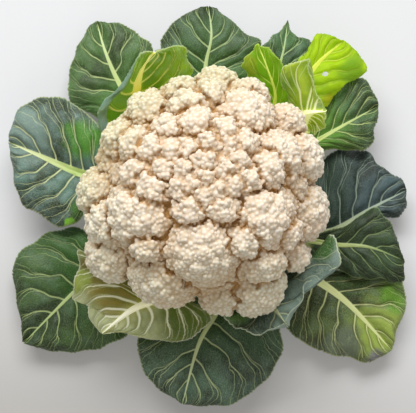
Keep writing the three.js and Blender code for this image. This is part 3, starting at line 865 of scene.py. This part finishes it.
def along(curve, t):
    place = np.linspace(0, 1, len(curve))
    return np.stack([np.interp(t, place, curve[:, k]) for k in range(3)], -1)


def unit(v):
    return v / np.maximum(np.linalg.norm(v, axis=-1, keepdims=True), 1e-9)


def ease(x, low, high):
    x = np.clip((x - low) / (high - low), 0, 1)
    return x * x * (3 - 2 * x)


def wander(x, waves, draw):
    """A smooth irregular wave, about -1 to 1, with so many waves as x goes from 0 to 1."""
    total = 0
    for k in range(4):
        total = total + np.sin(2 * math.pi * (waves * (0.7 + 0.27 * k) * x + draw.random()))
    return total / 2.6


def toothed(edge, centre, t, run, draw):
    """The edge with its teeth and small waves, which die away at both ends."""
    teeth = run / TOOTH_PITCH
    saw = np.abs(((t * teeth + 0.3 * wander(t, 7, draw)) % 1.0) - 0.35) / 0.65
    bite = TOOTH_DEPTH * (0.5 - saw) * (0.7 + 0.5 * wander(t, 9, draw))
    bite = bite + EDGE_WAVE * wander(t, 5, draw)
    fade = ease(t, 0, 0.06) * ease(1 - t, 0, 0.06)
    return edge + unit(edge - centre) * (bite * fade)[:, None]


def rolled(past, bend, most):
    """How far a strip that rolls up and over takes a point sideways and upwards, and its turn."""
    turn = np.minimum(past / bend, most)
    straight = past - turn * bend
    sideways = bend * np.sin(turn) + straight * np.cos(turn) - past
    upwards = bend * (1 - np.cos(turn)) + straight * np.sin(turn)
    return sideways[..., None], upwards[..., None], turn[..., None]


def faced(leaf, point, facing, lateral, share, reach_mm, row_t, blade):
    """The top and the back of a leaf from the sheet in its middle: puffed between the veins,
    raised along the rib and keeled below it. Also what its finish reads at each point."""
    across = share * reach_mm
    step = np.linalg.norm(np.gradient(point, axis=0), axis=2)
    pitch = np.clip(step / np.maximum(np.abs(np.gradient(lateral, axis=0)), 1e-4), 3, 40)
    off_vein = np.abs((lateral + 0.5) % 1.0 - 0.5) * pitch
    on_blade = ease(row_t, 0.0, 0.10) * ease(across, 1.0, 7.0)
    puff = VEIN_PUFF * (1 - np.exp(-((off_vein / 2.4) ** 2))) * on_blade * ease(1 - share, 0, 0.25)
    rib_half = np.where(blade > 0, 0.4 + RIB_HALF * (1 - row_t[:, 0]) ** 1.15, 0)[:, None]
    rib_half = rib_half * leaf.get("rib_wide", 1.0)
    stem_half = STEM_HALF * np.where(blade > 0, 0.62, 0.98)[:, None]
    rib_half = np.maximum(rib_half, (1 - ease(row_t, 0.0, 0.16)) * stem_half)
    round_top = np.sqrt(np.clip(1 - (across / np.maximum(rib_half, 0.3)) ** 2, 0, 1))
    rise = RIB_RISE * (1 - 0.7 * row_t) * round_top
    keel_half = np.maximum(STEM_HALF * (0.95 - 0.75 * row_t), 1.0)
    keel = (KEEL * (1 - row_t) ** 1.5 + 0.6) * np.sqrt(np.clip(1 - (across / keel_half) ** 2, 0, 1))
    thin = BLADE_THICKNESS / 2
    top = point + facing * (thin + rise + puff)[..., None]
    below = point + facing * (puff * 0.7 - thin - keel)[..., None]
    values = dict(lateral=lateral, pitch=pitch, across=across, share=share, rib_way=row_t)
    values["edge"] = (1 - share) * reach_mm
    values["stem"] = np.broadcast_to(1 - blade[:, None], share.shape)
    return top, below, values


def leaf_sheet(leaf, seed):
    """The leaf's two faces as grids of points in mm, and what its finish reads at each."""
    draw = np.random.default_rng(seed)
    angle, height = math.radians(leaf["foot"][0]), leaf["foot"][1]
    out = np.array([math.cos(angle), math.sin(angle), 0])
    up = np.array([0, 0, 1.0])

    # The stem runs from the stalk to the foot of the rib, and the two edges from there to the tip.
    rib_at = rail(leaf["rib"])
    foot = out * (STALK_RADIUS - 5) + up * (height - 1)
    neck = out * (STALK_RADIUS + 10) + up * (height + 2)
    stem_at = rail([foot, neck, leaf["rib"][0]])
    side_way = unit(np.cross(up, rib_at[1] - rib_at[0])) * STEM_HALF
    edges_at, runs = {}, {}
    for side, key in ((-1, "right"), (1, "left")):
        edges_at[key] = rail([leaf["rib"][0] + side_way * side, *leaf[key], leaf["rib"][-1]])
        runs[key] = np.linalg.norm(np.diff(edges_at[key], axis=0), axis=1).sum()
    t = np.linspace(0, RIB_END, round(max(runs.values()) / ROW_PITCH))
    stem = np.linspace(0, 1, STEM_ROWS, endpoint=False)
    centre = np.vstack([along(stem_at, stem), along(rib_at, t)])
    forward = np.vstack([
        unit(along(stem_at, stem + 0.004) - along(stem_at, stem)),
        unit(along(rib_at, t + 0.004) - along(rib_at, t - 0.004)),
    ])
    length = np.linalg.norm(np.diff(rib_at, axis=0), axis=1).sum()

    # Each row of the sheet runs out from the rib to both edges.
    t_all = np.append(np.zeros(STEM_ROWS), t)
    blade = np.append(np.zeros(STEM_ROWS), np.ones(len(t)))
    columns = np.arange(-SIDE_COLUMNS, SIDE_COLUMNS + 1)
    shape = (len(t_all), len(columns))
    point, facing = np.empty((*shape, 3)), np.empty((*shape, 3))
    share = np.broadcast_to((np.abs(columns) / SIDE_COLUMNS) ** 1.3, shape).copy()
    reach_mm, lateral = np.empty(shape), np.empty(shape)
    row_t = np.broadcast_to(t_all[:, None], shape)
    normals = []
    for side, key in ((-1, "right"), (1, "left")):
        run = runs[key]
        edge = toothed(along(edges_at[key], t), centre[STEM_ROWS:], t, run, draw)
        stem_edge = centre[:STEM_ROWS] + unit(np.cross(up, forward[:STEM_ROWS])) * STEM_HALF * side
        edge = np.vstack([stem_edge, edge])
        reach = edge - centre
        if key in leaf.get("curl", {}):
            strip, strip_end, bend, most = leaf["curl"][key]
            strip = strip_end + (strip - strip_end) * (1 - t_all) ** 2
            strip = np.minimum(strip, 0.5 * np.linalg.norm(reach, axis=1)) * ease(t_all, 0.05, 0.3)
            reach = reach + unit(reach) * strip[:, None]
        normal = unit(np.cross(forward, reach) * side)
        normals.append(normal)
        mine = columns < 0 if side < 0 else columns >= 0
        point[:, mine] = centre[:, None] + reach[:, None] * share[:, mine, None]
        facing[:, mine] = normal[:, None]
        reach_mm[:, mine] = np.linalg.norm(reach, axis=1)[:, None]
        count = leaf.get("veins") or max(round(length / VEIN_PITCH), 4)
        knots = (np.arange(-4, count + 3) + 0.25 * side + draw.uniform(-0.16, 0.16, count + 7)) / count
        bent = row_t[:, mine] - leaf.get("slope", VEIN_SLOPE) * share[:, mine] ** 1.15
        lateral[:, mine] = np.interp(bent, knots, np.arange(-4, count + 3))
        wave_height, waves = leaf["wave"]
        ripple = np.sin(2 * math.pi * waves * row_t + (2 if side > 0 else 0)) * np.sin(math.pi * row_t)
        frill = wander(t_all, run / 26, draw)[:, None] * np.sin(math.pi * np.clip(row_t, 0, 1)) ** 0.5
        s = share[:, mine]
        rise = 4 * s * (1 - s) * leaf["arch"] + wave_height * s**2 * ripple[:, mine]
        rise = rise + FRILL * s**4 * frill[:, mine]
        point[:, mine] += facing[:, mine] * (rise * ease(row_t[:, mine], 0, 0.2))[..., None]
        if key in leaf.get("curl", {}):
            # The outer strip rolls up and over, and then runs on straight.
            past = np.maximum(strip[:, None] - (1 - s) * reach_mm[:, mine], 0)
            sideways, upwards, turn = rolled(past, bend, most)
            outwards, flat = unit(reach)[:, None], facing[:, mine]
            point[:, mine] += outwards * sideways + flat * upwards
            facing[:, mine] = flat * np.cos(turn) - outwards * np.sin(turn)

    # The veins sway, and the two halves turn smoothly into each other at the rib.
    phases = draw.uniform(0, 2 * math.pi, 5)
    x, y = point[..., 0], point[..., 1]
    sway = np.sin(0.21 * x + 0.16 * y + phases[0]) + np.sin(0.13 * x - 0.27 * y + phases[1])
    sway = sway + 0.7 * np.sin(0.46 * x + phases[2]) * np.sin(0.42 * y + phases[3])
    lateral += VEIN_SWAY * sway * np.clip(share * 3, 0, 1)
    middle = unit(normals[0] + normals[1])
    near = np.exp(-((share * reach_mm / 4.0) ** 2))[..., None]
    facing = unit(facing * (1 - near) + middle[:, None] * near)
    return faced(leaf, point, facing, lateral, share, reach_mm, row_t, blade)


def leaf_piece(name, leaf, seed):
    top, below, values = leaf_sheet(leaf, seed)
    rows, columns = top.shape[:2]
    k = np.arange(rows * columns).reshape(rows, columns)
    a, b, c, d = [g.ravel() for g in (k[:-1, :-1], k[1:, :-1], k[1:, 1:], k[:-1, 1:])]
    low = rows * columns
    rim = np.concatenate([k[0, :], k[1:, -1], k[-1, -2::-1], k[-2:0:-1, 0]])
    turned = np.roll(rim, -1)
    faces = np.concatenate([
        np.stack([a, d, c, b], 1),
        np.stack([a, b, c, d], 1) + low,
        np.stack([rim, rim + low, turned + low, turned], 1),
    ])
    mesh = bpy.data.meshes.new(name)
    points = np.concatenate([top.reshape(-1, 3), below.reshape(-1, 3)]) * MM
    mesh.from_pydata(points.tolist(), [], faces.tolist())
    for key, value in values.items():
        both = np.tile(np.ascontiguousarray(value).ravel(), 2)
        mesh.attributes.new(key, "FLOAT", "POINT").data.foreach_set("value", both)
    under = np.repeat([0.0, 1.0], low)
    mesh.attributes.new("under", "FLOAT", "POINT").data.foreach_set("value", under)
    piece = bpy.data.objects.new(name, mesh)
    bpy.context.scene.collection.objects.link(piece)
    deselect()
    piece.select_set(True)
    bpy.context.view_layer.objects.active = piece
    bpy.ops.object.mode_set(mode="EDIT")
    bpy.ops.mesh.select_all(action="SELECT")
    bpy.ops.mesh.normals_make_consistent(inside=False)
    bpy.ops.object.mode_set(mode="OBJECT")
    bpy.ops.object.shade_smooth()
    return piece


def screen(red, green, blue):
    """A colour from its 0 to 255 screen values."""
    parts = (red / 255, green / 255, blue / 255)
    return tuple(v / 12.92 if v < 0.04045 else ((v + 0.055) / 1.055) ** 2.4 for v in parts)


def distance(flat, x, y):
    """How far each point stands, seen from above, from a place in mm."""
    settings, here = {"operation": "DISTANCE"}, (x * MM, y * MM, 0)
    return Socket.node("VectorMath", settings, output=1, i0=flat, i1=here)


def leaf_finish(name, leaf, seed):
    deep, light, vein, rib, under, inner = [screen(*colour) for colour in leaf["look"]]
    deep = tuple(c * DEEPEN for c in deep)
    light = tuple(c * LIGHTEN for c in light)
    head_shade_reach, rim = leaf.get("head_shade_reach", HEAD_SHADE_REACH), leaf.get("rim", 0.5)
    vein_wide, rib_wide = leaf.get("vein_wide", 1.0), leaf.get("rib_wide", 1.0)
    lift = leaf.get("lift", 0.0)
    made, shader = material(name, Roughness=0.48, Specular_IOR_Level=0.4, Emission_Strength=lift)
    place, east, north = ways()
    share, across, edge = attribute("share"), attribute("across"), attribute("edge")
    pitch, way, below = attribute("pitch"), attribute("rib_way"), attribute("under")
    count = attribute("lateral")
    on_blade = way.between(0.0, 0.05)

    # The side veins, their forks, and the net of fine veins between them.
    signed = (count + 0.5).math("FRACT") - 0.5
    lateral = signed.math("ABSOLUTE") * pitch / (1.5 - share * 1.15) / vein_wide
    lateral = (1 - lateral.between(0.22, 0.70)) * on_blade
    lot = ((count + 0.5).math("FLOOR") * 12.9 + seed).math("SINE") * 43.7
    fork = 0
    for way_out, part in ((0.62, 0.0), (-0.5, 0.37)):
        start = (lot + part).math("FRACT") * 0.45 + 0.15
        line = (signed - (share - start) * way_out).math("ABSOLUTE") * pitch
        fork = (1 - line.between(0.08, 0.48)) * share.math("GREATER_THAN", start) + fork
    fork = fork.math("MINIMUM", 1.0) * on_blade
    wave = noise(120.0, 2.0)
    cell = Socket.node("CombineXYZ", X=count * 2.3 + wave * 0.8, Y=across * 0.12 + wave)
    borders = {"feature": "DISTANCE_TO_EDGE"}
    net = Socket.node("TexVoronoi", {**borders, "voronoi_dimensions": "2D"}, Vector=cell)
    net = (1 - net.between(0.015, 0.085)) * on_blade
    small = Socket.node("TexVoronoi", borders, Vector=place, Scale=620.0)
    fine = 1 - small.between(0.02, 0.12)

    # The blade: deep and light green in patches, painted shade and painted light through the leaf in
    # under the head, and the bloom.
    blade = noise(38.0, 4.0).between(0.38, 0.62).mix(deep, light)
    blade = (noise(150.0, 6.0).between(0.42, 0.75) * 0.5).mix(blade, under)
    # Painted shade and painted light through the leaf: in by the head the blade turns to its colour
    # there.
    from_head = (east * east + north * north).math("SQRT") + noise(30.0, 2.0) * 0.03
    near_head = 1 - from_head.between(head_shade_reach - HEAD_SHADE_FADE, head_shade_reach)
    blade = (near_head * (1 - below) * 0.85).mix(blade, inner)
    flat = Socket.node("CombineXYZ", X=east, Y=north)
    ragged = noise(55.0, 3.0) * 0.024 - 0.012
    # Patches of the leaf's own colours, and of painted shade where the head or another leaf shades it.
    for (x, y, reach), colour in leaf.get("patches", []):
        away = distance(flat, x, y)
        near = 1 - (away + ragged).between(reach * 0.4 * MM, reach * MM)
        blade = (near * (1 - below)).mix(blade, screen(*colour))
    # Painted shade: the blade is darker in the hollows alongside the veins.
    hollow_shade = 1 - (signed.math("ABSOLUTE") * pitch).between(0.6, 3.6)
    blade = (hollow_shade * on_blade * 0.45).mix(blade, deep)
    blade = (fine * 0.10).mix(blade, vein)
    blade = (net * 0.22).mix(blade, vein)
    blade = (fork * (0.65 - share * 0.25)).mix(blade, vein)
    blade = (lateral * (0.85 - share * 0.3)).mix(blade, vein)
    blade = ((1 - edge.between(0.3, 1.1)) * rim * on_blade).mix(blade, vein)
    blade = (below * 0.88).mix(blade, under)
    streak = (way + noise(160.0, 3.0) * 0.3 - 0.15).between(0.2, 0.85).mix(rib, vein)
    midrib = 1 - (across / ((1 - way) * 4.1 + 0.3) / rib_wide).between(0.75, 1.0)
    at_base = (1 - way.between(0.0, 0.12)) * (1 - (across / 5.5).between(0.7, 1.1))
    stalked = attribute("stem") + at_base
    midrib = midrib.math("MAXIMUM", stalked)
    feed(shader, Base_Color=midrib.mix(blade, streak))
    if lift:
        # Painted light: the rib and veins glow, as if the light from behind came through them.
        lines = midrib.math("MAXIMUM", lateral * 0.8).math("MAXIMUM", fork * 0.5)
        feed(shader, Emission_Color=lines.mix((0.0, 0.0, 0.0), rib))
    height = lateral * -0.6 + fork * -0.4 + net * -0.45 + fine * -0.1
    bump = Socket.node("Bump", Height=height * (1 - midrib), Strength=0.6, Distance=0.0006)
    feed(shader, Normal=bump)
    whole = 1.0
    if "hole" in leaf:
        x, y = leaf["hole"]
        away = distance(flat, x, y) + noise(400.0, 2.0) * 0.002
        whole = away.between(HOLE_RADIUS, HOLE_RADIUS + 0.0002)
        feed(shader, Alpha=whole)
    if "glow" in leaf:
        # Young leaves let the light through, all but their veins.
        through = Socket.node("BsdfTranslucent", Color=(*screen(*leaf["glow"]), 1.0))
        passed = (1 - midrib * 0.7) * (1 - lateral * 0.4) * GLOW_SHARE * whole
        mixed = Socket.node("MixShader", Fac=passed, i1=Socket(shader.outputs[0]), i2=through)
        made.node_tree.links.new(mixed.out, made.node_tree.nodes["Material Output"].inputs[0])
    return made


for seed, (name, leaf) in enumerate(LEAVES.items(), 40):
    piece = leaf_piece(name + "_sheet", leaf, seed)
    piece.data.materials.append(leaf_finish(name + "_skin", leaf, seed))
    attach(piece, "root")
    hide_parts(name)
